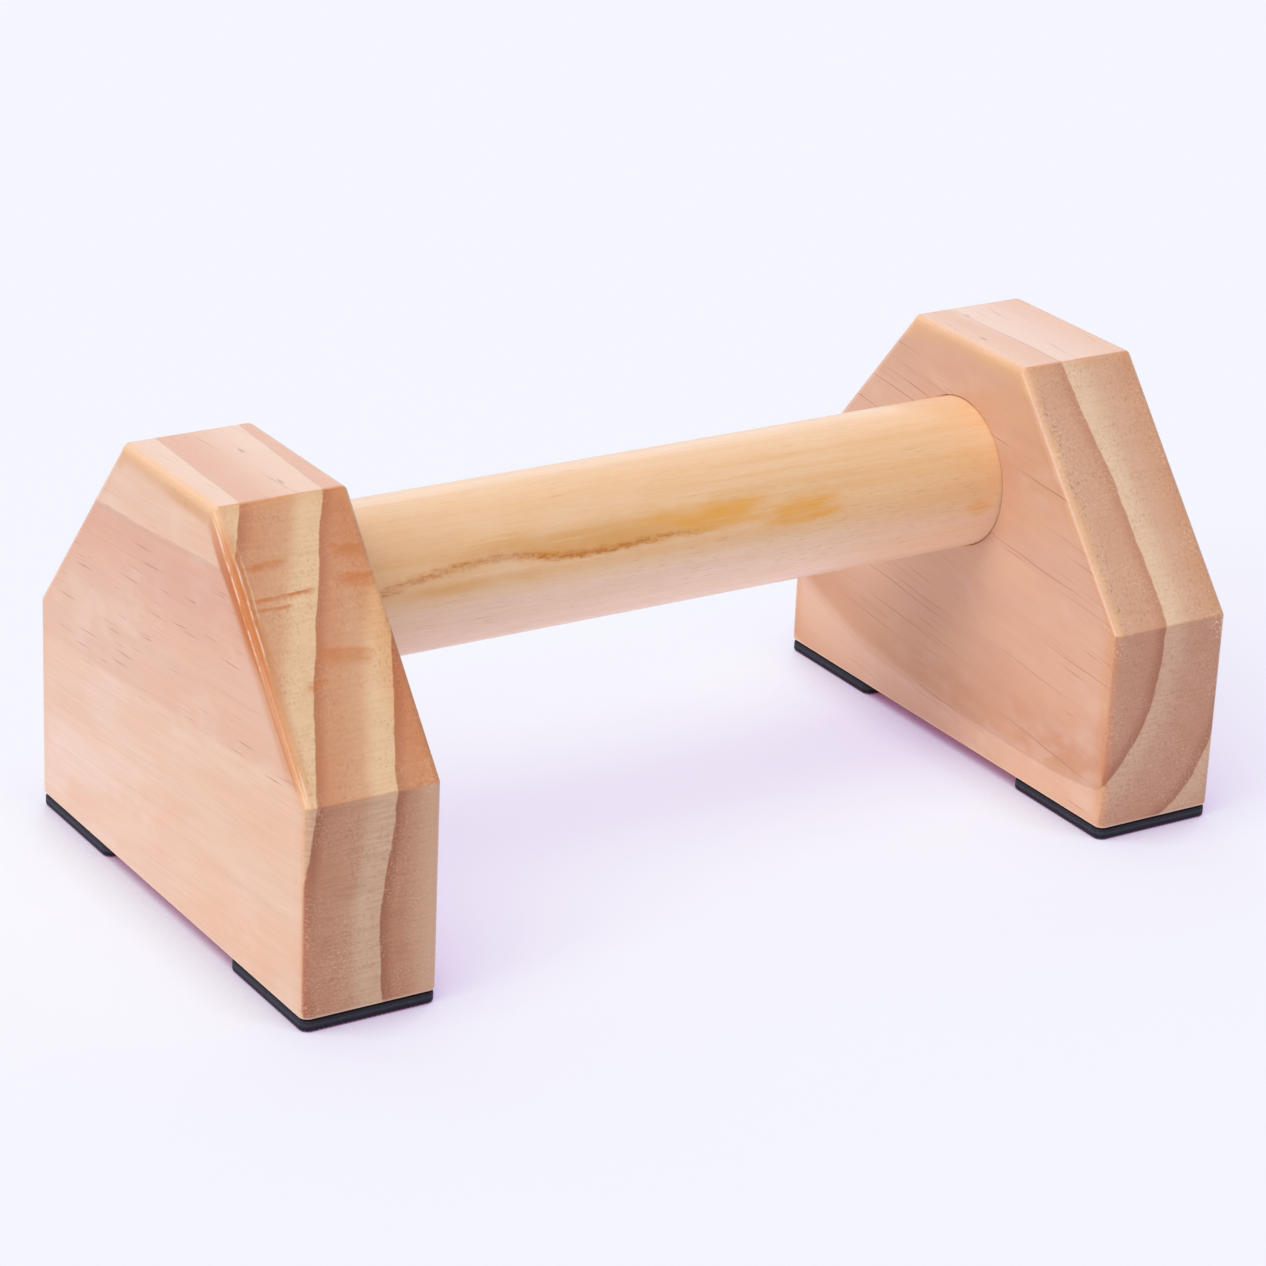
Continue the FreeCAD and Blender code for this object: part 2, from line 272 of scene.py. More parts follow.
def make_block_edges():
    """Distance across the edges of a block's broad faces: below 0 on the face, above 0 round the corner."""
    tree, graph, given, put_out = start_group(
        "Block edges", {"Depth": VALUE, "Across": VALUE, "Height": VALUE}, ("Off edge",))
    run = BLOCK_HALF_WIDTH - BLOCK_TOP_HALF_WIDTH
    rise = BLOCK_HEIGHT - BLOCK_SIDE_HEIGHT
    slope_length = math.hypot(run, rise)
    from_end = graph.maths("SUBTRACT", BLOCK_HALF_WIDTH, graph.maths("ABSOLUTE", given["Across"]))
    below_slope = graph.maths("SUBTRACT", BLOCK_SIDE_HEIGHT, given["Height"])
    from_slope = graph.maths("ADD", graph.maths("MULTIPLY", from_end, rise / slope_length),
                             graph.maths("MULTIPLY", below_slope, run / slope_length))
    from_top = graph.maths("SUBTRACT", BLOCK_HEIGHT, given["Height"])
    inside = graph.maths("MINIMUM", graph.maths("MINIMUM", from_end, from_slope), from_top)
    other_face = graph.maths("SUBTRACT", BLOCK_THICKNESS, given["Depth"])
    from_face = graph.maths("MINIMUM", given["Depth"], other_face)
    put_out("Off edge", graph.maths("SUBTRACT", from_face, inside))
    return tree


def make_edge_lacquer():
    """Lacquer that has soaked in amber along rounded edges, and specks where it has worn through."""
    tree, graph, given, put_out = start_group(
        "Edge lacquer", {"Position": VECTOR, "Off edge": VALUE}, ("Amber", "Deep amber", "Worn"))
    edge = graph.maths("ADD", given["Off edge"], graph.sway(given["Position"], (22, 22, 22), 4))
    blotch = graph.ease(graph.noise(given["Position"], (26, 26, 26)), 0.3, 0.62, 0.6, 1)
    amber = graph.product(graph.ease(edge, -6.5, -1.5), graph.ease(given["Off edge"], 0.4, 3, 1, 0), blotch)
    speck = graph.ease(graph.noise(given["Position"], (0.7, 0.7, 0.7), detail=1), 0.5, 0.66)
    patches = graph.ease(graph.noise(given["Position"], (12, 12, 12)), 0.4, 0.62)
    put_out("Amber", amber)
    put_out("Deep amber", graph.product(graph.between(edge, -4.6, -1.4, 1.3), blotch))
    put_out("Worn", graph.product(speck, patches, graph.between(given["Off edge"], -0.5, 5, 2)))
    return tree


def make_smears_and_reflections():
    """Faint pale smears where lacquered wood has been handled, painted paler as reflections of its gloss."""
    tree, graph, given, put_out = start_group("Smears and reflections", {"Position": VECTOR}, ("Smears",))
    wide = graph.ease(graph.noise(given["Position"], (34, 34, 26), detail=2), 0.42, 0.66)
    fine = graph.ease(graph.noise(given["Position"], (14, 12, 7), detail=3), 0.4, 0.74)
    put_out("Smears", graph.product(wide, fine))
    return tree


GROWTH_RINGS = make_growth_rings()
PINE_FIBRE = make_pine_fibre()
RESIN_DASHES = make_resin_dashes()
END_GRAIN = make_end_grain()
BLOCK_FACES = make_block_faces()
BLOCK_EDGES = make_block_edges()
EDGE_LACQUER = make_edge_lacquer()
SMEARS_AND_REFLECTIONS = make_smears_and_reflections()

# Two LACQUER tones are painted highlights: the ridge's pale lines and the pale line along the lower arris.
LACQUER = {
    "smear": seen(248, 228, 218), "soaked edge": seen(246, 206, 142), "soaked top": seen(236, 186, 136),
    "far side": seen(246, 214, 176), "rim": seen(230, 180, 136), "deep": seen(214, 152, 84),
    "top arris": seen(234, 164, 110), "middle arris": seen(208, 144, 98), "low arris highlight": seen(246, 222, 212),
    "worn": seen(246, 214, 188), "run": seen(204, 116, 44), "faded": seen(226, 184, 154),
    "pool": seen(206, 126, 56), "settled": seen(196, 100, 16), "painted_highlight": seen(252, 214, 196),
}
TOP_PIT = seen(140, 86, 70)
# In BAR_TONES, the underside's pink tone is partly painted bounce light from the floor.
BAR_TONES = {
    "pale": seen(246, 212, 180), "band": seen(243, 203, 162), "vein": seen(232, 176, 112),
    "golden": seen(245, 198, 145), "pink_and_bounce": seen(253, 222, 206), "line": seen(226, 168, 112),
    "dash": seen(176, 118, 80), "nick": seen(188, 126, 92), "dark fleck": seen(228, 176, 128),
    "pale fleck": seen(253, 232, 212), "smoke": seen(224, 162, 86), "lower band": seen(234, 178, 108),
    "dark line": seen(202, 120, 26), "gold patch": seen(238, 168, 58), "smear": seen(250, 226, 204),
}
# In PAD_TONES, the rim tone and the side stripe's tone are painted highlights.
PAD_TONES = {
    "black": seen(16, 15, 24), "grey grain": seen(32, 31, 44), "dust": seen(92, 90, 98),
    "rim": seen(70, 70, 80), "rib": seen(66, 66, 78), "painted_sheen": seen(88, 86, 108),
    "adhesive": seen(40, 37, 38), "adhesive grain": seen(62, 57, 56),
}
# In FLOOR_TONES, hidden, contact and contact shade colour a painted contact shadow.
FLOOR_TONES = {
    "floor": (0.86, 0.85, 0.89, 1), "light through": (1, 0.98, 1, 1), "open": (0.615, 0.50, 0.79, 1),
    "hidden": (0.35, 0.15, 0.54, 1), "contact": (0.11, 0.02, 0.02, 1),
    "open shade": (0.30, 0.43, 0.21, 1), "contact shade": (0.30, 0.24, 0.17, 1),
}


def start_material(name):
    material = bpy.data.materials.new(name)
    material.use_nodes = True
    return material, Graph(material.node_tree), material.node_tree.nodes["Principled BSDF"]


def lacquer(graph, surface, colour, roughness, gloss, height, depth):
    """Finish wood with a thin satin lacquer over a faintly raised grain."""
    bump = graph.add("ShaderNodeBump", {"Height": height, "Strength": 0.35, "Distance": depth / MILLIMETRES})
    graph.tree.links.new(colour, surface.inputs["Base Color"])
    graph.tree.links.new(roughness, surface.inputs["Roughness"])
    graph.tree.links.new(gloss, surface.inputs["Coat Weight"])
    graph.tree.links.new(bump.outputs["Normal"], surface.inputs["Normal"])
    surface.inputs["Coat Roughness"].default_value = 0.14
    surface.inputs["IOR"].default_value = 1.46


def resin_dashes(graph, grain, amount, length, row, thickness):
    """Dark dashes along the grain, of about this length and thickness, in rows this far apart."""
    sockets = {"Grain": grain, "Amount": amount, "Length": length, "Row": row, "Thickness": thickness}
    return graph.use(RESIN_DASHES, sockets)["Dashes"]


def smears_and_reflections(graph, position):
    return graph.use(SMEARS_AND_REFLECTIONS, {"Position": position})["Smears"]


def read_block(graph, node, rings, coarseness):
    """Gather what the finishes of an end block change with: places in millimetres, grain, faces and edges."""
    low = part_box(node)[0] * MILLIMETRES
    block = SimpleNamespace(place=graph.position())
    x, y, z = graph.split(block.place)
    block.y = y
    block.depth = graph.maths("SUBTRACT", x, low.x)
    block.height = graph.maths("SUBTRACT", z, low.z)
    block.level = graph.maths("MULTIPLY_ADD", y, rings["grain rise"], block.height)
    block.grain = graph.join(y, block.level, block.depth)
    outline = {"Depth": block.depth, "Across": y, "Height": block.height}
    block.off_edge = graph.use(BLOCK_EDGES, outline)["Off edge"]
    block.fibre = graph.use(PINE_FIBRE, {"Grain": block.grain})
    block.end = graph.use(END_GRAIN, {"Position": graph.stretch(block.place, coarseness)})
    block.faces = graph.use(BLOCK_FACES, {"Facing": graph.facing()})
    block.edges = graph.use(EDGE_LACQUER, {"Position": block.place, "Off edge": block.off_edge})
    not_upright = graph.maths("SUBTRACT", 1, block.faces["Upright"])
    block.sloping = graph.product(block.faces["End grain"], not_upright)
    return block


def block_rings(graph, block, rings):
    """Growth rings of a block, each a curved sheet along the grain.

    rings["line"] gives how deep the first one lies, from the block's low X face, at each height.
    """
    line_height = block.height
    if "lift" in rings:
        line_height = graph.maths("SUBTRACT", block.height, graph.line_through(block.y, rings["lift"]))
    straight = rings["straight"]
    bow = graph.maths("SUBTRACT", graph.line_through(line_height, rings["line"]), straight)
    flatter = graph.maths("MULTIPLY_ADD", block.depth, -rings["flattening"] / BLOCK_THICKNESS, 1)
    line = graph.maths("MULTIPLY_ADD", bow, flatter, straight)
    line = graph.maths("MULTIPLY_ADD", block.y, rings["tilt"], line)
    past_line = graph.maths("MULTIPLY", graph.maths("SUBTRACT", block.depth, line), rings["side"])
    crowded = graph.maths("MULTIPLY", past_line, rings["crowding"])
    return graph.use(GROWTH_RINGS, {
        "Grain": block.grain, "Depth": graph.maths("MAXIMUM", past_line, crowded),
        "Spacing": rings["spacing"], "Fade start": rings["fade"][0], "Fade end": rings["fade"][1],
        "Wobble": 2.2, "Soft edge": graph.ease(block.y, *FRONT_TO_BACK, *rings["soft edge"])})


def long_grain(graph, block, growth, rings, dashing, tones):
    """Wood of a block's broad faces, top and underside, where the fibres lie along the surface."""
    faces, fibre, level = block.faces, block.fibre, block.level
    above_foot = graph.maths("MAXIMUM", graph.ease(level, *rings["pale foot"]), faces["Underside"])
    least_late = graph.ease(block.height, 62, 88, rings["least late"], 0)
    late = graph.product(graph.maths("MAXIMUM", growth["Soft latewood"], least_late), above_foot)
    pale_wood = graph.blend(graph.ease(block.y, -30, 60), tones["long pale"], tones["long far"])
    wood = graph.blend(late, pale_wood, tones["long late"])
    drifting = graph.ease(fibre["Drift"], 0.36, 0.62)
    drifting = graph.product(drifting, graph.maths("MULTIPLY_ADD", late, -0.3, 0.55))
    wood = graph.blend(drifting, wood, tones["long drift"])
    wood = graph.blend(graph.product(fibre["Lines"], tones["lines"]), wood, tones["long line"])
    # Tops get paler, pinker tones of their own: partly the wood, partly painted light from above.
    top_wood = graph.blend(late, tones["top pale"], tones["top late"])
    wood = graph.blend(graph.product(faces["Top"], 0.8), wood, top_wood)
    clearer = graph.ease(block.y, *FRONT_TO_BACK, *rings["long edge"])
    wood = graph.blend(graph.product(growth["Ring line"], above_foot, clearer), wood, tones["long line"])
    # Pale smears: handling marks, painted paler as reflections on the lacquer.
    smears = smears_and_reflections(graph, block.place)
    wood = graph.blend(graph.product(smears, 0.22), wood, LACQUER["smear"])

    clustered = graph.ease(graph.noise(block.grain, (50, 8, 8)), 0.36, 0.6, 0.15, 1)
    amount = graph.product(clustered, graph.between(level, *dashing["levels"], 3), dashing["amount"])
    for crowded in dashing["crowded"]:
        amount = graph.maths("MAXIMUM", amount, graph.product(graph.stripe(level, crowded, 8), 1.1))
    streaks = resin_dashes(graph, block.grain, 0.85, length=230, row=1.5, thickness=0.15)
    dashes = resin_dashes(graph, block.grain, amount, dashing["length"], 1.3, dashing["thickness"])
    top_lines = resin_dashes(graph, block.grain, 0.8, length=52, row=1.3, thickness=0.2)
    top_lines = graph.product(top_lines, faces["Top"])
    for lines, strength in ((streaks, dashing["streaks"]), (dashes, 0.8), (top_lines, 0.5)):
        wood = graph.blend(graph.product(lines, strength), wood, tones["resin"])
    torn = graph.maths("SUBTRACT", fibre["Lines"], 0.5)
    for pit in dashing["top pits"]:
        dark_pit = graph.patch(block.depth, block.y, pit, (0.55, 1.9), torn)
        wood = graph.blend(graph.product(dark_pit, faces["Top"], 0.5), wood, TOP_PIT)
    return wood


def cut_grain(graph, block, growth, tones):
    """Wood of a block's upright ends and slopes, where the fibres are cut across; the ends get a painted
    shade.
    """
    end, upright = block.end, block.faces["Upright"]
    wood = graph.blend(growth["Latewood"], tones["end pale"], tones["end late"])
    ring_edge = graph.product(growth["Ring edge"], graph.ease(upright, 0, 1, *tones["ring edge"]))
    wood = graph.blend(ring_edge, wood, tones["end ring"])
    sawn = graph.product(graph.ease(end["Saw marks"], 0.38, 0.66), graph.ease(upright, 0, 1, 0.12, 0.24))
    wood = graph.blend(sawn, wood, tones["end ring"])
    wood = graph.blend(graph.product(end["Pores"], tones["pores"]), wood, tones["end pore"])
    dust = graph.product(upright, graph.ease(block.height, 8, 44, 1, 0.3))
    dusty = graph.maths("MULTIPLY_ADD", dust, tones["dust"], tones["specks"])
    wood = graph.blend(graph.product(end["Specks"], dusty), wood, tones["end speck"])
    # The upright ends face away from the light above, so they are multiplied darker: a painted shade.
    return graph.blend(upright, wood, tones["upright"], mode="MULTIPLY")


def soak_edges(graph, wood, block, amber, tones):
    """Lacquer soaked into a block's edges, the wear along them, and a painted highlight on the low arris."""
    faces, edges, height = block.faces, block.edges, block.height
    on_top = graph.ease(height, BLOCK_HEIGHT - 8, BLOCK_HEIGHT - 5)
    below_top = graph.maths("SUBTRACT", 1, on_top)
    share = graph.ease(height, BLOCK_SIDE_HEIGHT - 2, BLOCK_SIDE_HEIGHT + 2, amber["upright"], amber["slope"])
    soaked = graph.product(edges["Amber"], below_top, share)
    wood = graph.blend(soaked, wood, LACQUER["soaked edge"], mode="MULTIPLY")
    soaked_top = graph.product(edges["Amber"], on_top, amber["top"])
    wood = graph.blend(soaked_top, wood, LACQUER["soaked top"])
    far_side = graph.product(graph.ease(block.depth, 25, 34), block.sloping, amber["far side"])
    wood = graph.blend(far_side, wood, LACQUER["far side"], mode="MULTIPLY")

    crumbly = graph.sway(block.place, (3.4, 3.4, 3.4), 6, detail=4, roughness=0.65)
    rim_edge = graph.maths("ADD", block.off_edge, crumbly)
    near_slope = graph.product(graph.ease(block.depth, 8, 14, 1, 0), block.sloping)
    rim = graph.product(graph.between(rim_edge, -0.5, 3, 0.9), near_slope)
    rubbed = graph.ease(graph.noise(block.place, (7, 7, 7), detail=3), 0.36, 0.6, 0.35, 1)
    wood = graph.blend(graph.product(rim, rubbed, amber["rim"]), wood, LACQUER["rim"])
    bitten = graph.product(graph.stripe(rim_edge, 3.2, 1.8), near_slope, block.end["Pores"], amber["rim"])
    wood = graph.blend(bitten, wood, tones["end pore"])
    deep = graph.product(edges["Deep amber"], on_top, amber["deep"])
    wood = graph.blend(deep, wood, LACQUER["deep"])

    patchy = graph.ease(graph.noise(block.place, (9, 9, 9), detail=3), 0.34, 0.6, 0.4, 0.95)
    below_arris = graph.product(graph.stripe(height, BLOCK_HEIGHT - 1.2, 1.6), block.sloping, 0.3)
    top_arris = graph.product(graph.maths("MAXIMUM", faces["Top arris"], below_arris), patchy)
    wood = graph.blend(top_arris, wood, LACQUER["top arris"])
    middle_arris = graph.product(faces["Middle arris"], patchy, 0.4)
    wood = graph.blend(middle_arris, wood, LACQUER["middle arris"])
    knocked = graph.ease(graph.stripe(height, BLOCK_SIDE_HEIGHT, 7), 0, 1, 0.8, 2)
    wood = graph.blend(graph.product(edges["Worn"], knocked, tones["worn"]), wood, LACQUER["worn"])
    # A pale line along the lowest millimetre of the sides: a painted highlight on the lower arris.
    not_under = graph.maths("SUBTRACT", 1, faces["Underside"])
    low_arris_highlight = graph.product(graph.ease(height, 0.2, 1, 0.6, 0), not_under)
    return graph.blend(low_arris_highlight, wood, LACQUER["low arris highlight"])


def dried_runs(graph, block, runs):
    """Runs of lacquer that dried across a front slope: a crisp upper edge that fades downwards."""
    slump = 2.2
    slumped = graph.noise(block.place, (8, 8, 8), detail=3)
    slumped = graph.maths("MULTIPLY_ADD", slumped, slump, block.height)
    frayed = graph.maths("ADD", block.depth, graph.sway(block.place, (9, 9, 0.9), 7, detail=3))
    thinned = graph.noise(block.place, (4, 4, 1.4), detail=3, roughness=0.6)
    total = None
    for top, drop, fall, first, last, strength in runs:
        edge = graph.maths("SUBTRACT", block.depth, first)
        edge = graph.maths("MULTIPLY_ADD", edge, -fall, top + slump / 2)
        down = graph.maths("DIVIDE", graph.maths("SUBTRACT", edge, slumped), drop)
        run = graph.product(graph.ease(down, 0, 0.22), graph.ease(down, 0.35, 1, 1, 0))
        run = graph.product(run, graph.between(frayed, first, last, 1.8), strength)
        total = run if total is None else graph.maths("MAXIMUM", total, run)
    return graph.product(total, graph.ease(thinned, 0.32, 0.62, 0.5, 1))


def dried_ridge(graph, block):
    """Lacquer that dried thick along the edge of a front slope.

    It is an amber pool, darkest where it settled, with pale, broken lines painted on as highlights.
    """
    height, off_edge = block.height, block.off_edge
    wobbly = graph.sway(block.place, (9, 9, 9), 1.2, detail=3)
    across = graph.maths("ADD", off_edge, wobbly)
    along = graph.between(height, BLOCK_SIDE_HEIGHT + 4, BLOCK_HEIGHT - 4, 4)
    thickest = graph.maths("MULTIPLY_ADD", graph.between(height, 81, 100, 6), 0.55, 0.45)
    pool = graph.product(graph.ease(across, -6, -3.4), graph.ease(off_edge, 1, 4.5, 1, 0), along, thickest)

    reach = graph.line_through(
        height, ((54, 0.9), (70, 1.1), (84, 1.9), (93, 2.8), (99, 3.8), (105, 2.2), (111, 0.8)))
    share = graph.maths("DIVIDE", graph.maths("MULTIPLY_ADD", across, -1, -1.4), reach)
    beside = graph.product(graph.ease(share, 0, 0.2), graph.ease(share, 0.75, 1.2, 1, 0), thickest)
    between_crests = graph.product(graph.stripe(across, 0.3, 1.3), graph.between(height, 58, 106, 4),
                                   graph.ease(height, 66, 84, 0.3, 0.7))
    settled = graph.product(graph.maths("MAXIMUM", beside, between_crests), along)

    nearly = graph.maths("MULTIPLY_ADD", wobbly, 0.4, off_edge)
    # Pale broken lines along the ridge, painted as highlights.
    first = graph.product(graph.stripe(nearly, -1.1, 0.5), graph.between(height, 79, BLOCK_HEIGHT - 3, 3))
    second = graph.product(graph.stripe(across, 1.7, 0.45), graph.between(height, 81, 101, 3))
    third = graph.product(graph.stripe(across, 3.2, 0.45), graph.between(height, 88, 104, 2), 0.6)
    at_foot = graph.between(height, BLOCK_SIDE_HEIGHT + 1, 61, 1.5)
    painted_highlights = graph.product(graph.stripe(across, 1.2, 0.45), at_foot)
    for painted_highlight in (first, second, third):
        painted_highlights = graph.maths("MAXIMUM", painted_highlights, painted_highlight)
    broken = graph.ease(graph.noise(block.place, (4, 4, 4), detail=4, roughness=0.7), 0.38, 0.56, 0.15, 1)
    return pool, settled, graph.product(painted_highlights, broken)


def spill_lacquer(graph, wood, relief, gloss, block, runs):
    """Lacquer that dried in runs across a block's front slope and in a ridge along its outer edge."""
    front = graph.ease(block.y, -4, 4, 1, 0)
    spilt = graph.product(dried_runs(graph, block, runs), block.sloping, front)
    wood = graph.blend(spilt, wood, LACQUER["run"])
    faded = graph.product(graph.ease(block.depth, 25, 34, 0, 0.55), block.faces["Upright"], front)
    wood = graph.blend(faded, wood, LACQUER["faded"])
    outer_front = graph.product(graph.ease(block.depth, 7, 10, 1, 0), front)
    # The ridge's pale lines are painted highlights.
    pool, settled, painted_highlights = (graph.product(part, outer_front) for part in dried_ridge(graph, block))
    wood = graph.blend(pool, wood, LACQUER["pool"])
    wood = graph.blend(graph.product(settled, 0.95), wood, LACQUER["settled"])
    wood = graph.blend(graph.product(painted_highlights, 0.8), wood, LACQUER["painted_highlight"])
    relief = graph.maths("MULTIPLY_ADD", painted_highlights, 2, graph.maths("ADD", pool, relief))
    gloss = graph.product(gloss, graph.maths("MULTIPLY_ADD", pool, -0.8, 1))
    return wood, relief, gloss


def make_block_pine(name, node, rings, dashing, tones, amber, runs):
    """Lacquered pine of one end block, sawn so that its grain runs across the block, along Y.

    rings says how its growth rings lie, dashing where its resin canals show, and tones what colours
    it has. amber gives how much lacquer has soaked into which edges, and runs where lacquer has
    dried on the front slope.
    """
    material, graph, surface = start_material(name)
    block = read_block(graph, node, rings, tones["coarseness"])
    growth = block_rings(graph, block, rings)
    along = long_grain(graph, block, growth, rings, dashing, tones)
    across = cut_grain(graph, block, growth, tones)
    cut = block.faces["End grain"]
    wood = soak_edges(graph, graph.blend(cut, along, across), block, amber, tones)

    lines = graph.product(block.fibre["Lines"], graph.maths("SUBTRACT", 1, cut), -0.15)
    relief = graph.maths("MULTIPLY_ADD", graph.product(block.end["Pores"], -0.3), cut, lines)
    rough = graph.maths("MULTIPLY_ADD", cut, 0.12, 0.36)
    rough = graph.maths("MULTIPLY_ADD", block.edges["Amber"], -0.12, rough)
    gloss = graph.ease(block.faces["Top"], 0, 1, 0.25, 0.1)
    gloss = graph.maths("MULTIPLY_ADD", block.edges["Amber"], 0.3, gloss)
    if runs:
        wood, relief, gloss = spill_lacquer(graph, wood, relief, gloss, block, runs)
    lacquer(graph, surface, wood, rough, gloss, relief, depth=0.12)
    return material


def read_bar(graph):
    """Gather what the finish of the grip bar changes with. arc runs from its top round to the front."""
    low, high = (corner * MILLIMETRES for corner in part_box("grip_bar"))
    axis_height = (low.z + high.z) / 2
    radius = (high.z - low.z) / 2
    bar = SimpleNamespace(grain=graph.position())
    bar.x, y, z = graph.split(bar.grain)
    angle = graph.maths("ARCTAN2", graph.maths("MULTIPLY", y, -1), graph.maths("SUBTRACT", z, axis_height))
    bar.arc = graph.maths("MULTIPLY", angle, radius)
    bar.rolled = graph.join(bar.x, bar.arc, 0)
    bar.fibre = graph.use(PINE_FIBRE, {"Grain": bar.grain})
    scattered = graph.ease(graph.noise(bar.grain, (40, 9, 9)), 0.38, 0.62, 0.2, 0.9)
    bar.dashes = resin_dashes(graph, bar.rolled, scattered, length=34, row=1.5, thickness=0.12)
    return bar


def bar_ground(graph, bar):
    """Plain wood of the bar: slow bands, golden front, pink underside with painted bounce light, fine lines,
    nicks, flecks.
    """
    x, arc, tones = bar.x, bar.arc, BAR_TONES
    bands = graph.noise(bar.grain, (420, 8, 8), detail=2)
    wood = graph.blend(graph.ease(bands, 0.36, 0.64), tones["pale"], tones["band"])
    veins = graph.noise(bar.grain, (120, 2.6, 2.6), detail=3)
    veined = graph.product(graph.ease(veins, 0.48, 0.66, 0, 0.6), graph.between(arc, 9, 28, 5))
    wood = graph.blend(veined, wood, tones["vein"])
    golden = graph.product(graph.between(arc, 6, 32, 6), graph.ease(bar.fibre["Drift"], 0.3, 0.6, 0.6, 1))
    wood = graph.blend(graph.product(golden, 0.75), wood, tones["golden"])
    # The underside is paler and pinker: partly the wood, partly painted light bounced up from the floor.
    pink_and_bounce = graph.product(graph.ease(arc, 29, 37), graph.ease(x, 0, 90, 1, 0.4))
    wood = graph.blend(graph.product(pink_and_bounce, 0.9), wood, tones["pink_and_bounce"])
    wood = graph.blend(graph.product(bar.fibre["Lines"], 0.2), wood, tones["line"])
    wood = graph.blend(graph.product(bar.dashes, 0.42), wood, tones["dash"])
    nicked = graph.product(graph.between(arc, 22, 42, 5), graph.ease(x, -60, 60, 0.1, 1))
    nicks = resin_dashes(graph, bar.rolled, nicked, length=8, row=0.6, thickness=0.24)
    wood = graph.blend(graph.product(nicks, 0.5), wood, tones["nick"])
    flecks = graph.noise(bar.grain, (3.2, 0.55, 0.55), detail=3, roughness=0.65)
    wood = graph.blend(graph.ease(flecks, 0.5, 0.74, 0, 0.22), wood, tones["dark fleck"])
    return graph.blend(graph.ease(flecks, 0.26, 0.46, 0.18, 0), wood, tones["pale fleck"])


def stain_bar(graph, wood, bar):
    """A brown line that winds along the bar's front, with smoke above it, a band below and gold patches."""
    x, arc, tones = bar.x, bar.arc, BAR_TONES
    wander = graph.sway(bar.grain, (17, 4, 4), 2.2, detail=4, roughness=0.6)
    crumbled = graph.sway(bar.grain, (4, 1.2, 1.2), 2.4, detail=3, roughness=0.7)
    threads = graph.noise(bar.grain, (24, 0.8, 0.8), detail=3, roughness=0.6)
    streak = graph.line_through(x, (
        (-98, 28.8), (-85, 27.3), (-64, 24.8), (-52, 24.5), (-40, 25.6), (-27, 26.8), (0, 26.4), (98, 25.4)))
    streak = graph.maths("ADD", streak, crumbled)
    above = graph.maths("SUBTRACT", graph.maths("ADD", streak, wander), arc)

    reach = graph.line_through(x, (
        (-98, 0.4), (-80, 1), (-66, 3.6), (-55, 5.6), (-40, 7.6), (-20, 8.2), (6, 6), (98, 3)))
    share = graph.maths("DIVIDE", above, reach)
    feathered = graph.maths("MULTIPLY_ADD", graph.maths("SUBTRACT", threads, 0.5), 1.1, share)
    smoke = graph.product(graph.ease(feathered, 0.3, 1.25, 1, 0), graph.ease(above, -0.6, 0.8))
    smoke = graph.product(smoke, graph.between(x, -62, 2, 22), 0.85)
    wood = graph.blend(smoke, wood, tones["smoke"])
    below = graph.maths("ADD", graph.maths("SUBTRACT", arc, 29.2), wander)
    lower_band = graph.product(graph.stripe(below, 0, 2.8), graph.between(x, -78, -44, 8),
                               graph.ease(threads, 0.36, 0.6, 0.35, 0.75))
    wood = graph.blend(lower_band, wood, tones["lower band"])

    threaded = graph.ease(threads, 0.34, 0.58, 0.6, 1)
    granular = graph.noise(bar.grain, (1.8, 0.7, 0.7), detail=3, roughness=0.75)
    grained = graph.product(threaded, graph.ease(granular, 0.4, 0.58, 0.4, 1.1))
    darkness = graph.maths("MULTIPLY_ADD", graph.stripe(x, -38, 46), 0.3, 0.85)
    dark_line = graph.product(graph.stripe(above, 0.5, 1.7), graph.between(x, -93, 8, 8), grained, darkness)
    wood = graph.blend(dark_line, wood, tones["dark line"])
    ragged = graph.sway(bar.grain, (14, 3.4, 3.4), 1.6, detail=4, roughness=0.6)
    for middle, size, strength in GOLD_PATCHES:
        gold = graph.patch(x, arc, middle, size, ragged)
        wood = graph.blend(graph.product(gold, threaded, strength), wood, tones["gold patch"])
    return wood


def make_bar_pine():
    """Lacquered pine of the grip bar, with a smoky brown streak along its front."""
    material, graph, surface = start_material("grip_bar_pine")
    bar = read_bar(graph)
    lines = bar.fibre["Lines"]
    wood = stain_bar(graph, bar_ground(graph, bar), bar)
    # Pale smears: handling marks, painted paler as reflections on the lacquer.
    smears = smears_and_reflections(graph, bar.grain)
    wood = graph.blend(graph.product(smears, 0.2), wood, BAR_TONES["smear"])
    rough = graph.maths("MULTIPLY_ADD", lines, 0.1, 0.34)
    gloss = graph.maths("MULTIPLY_ADD", smears, -0.12, 0.24)
    relief = graph.maths("MULTIPLY_ADD", bar.dashes, -0.5, graph.product(lines, -0.3))
    lacquer(graph, surface, wood, rough, gloss, relief, depth=0.1)
    return material


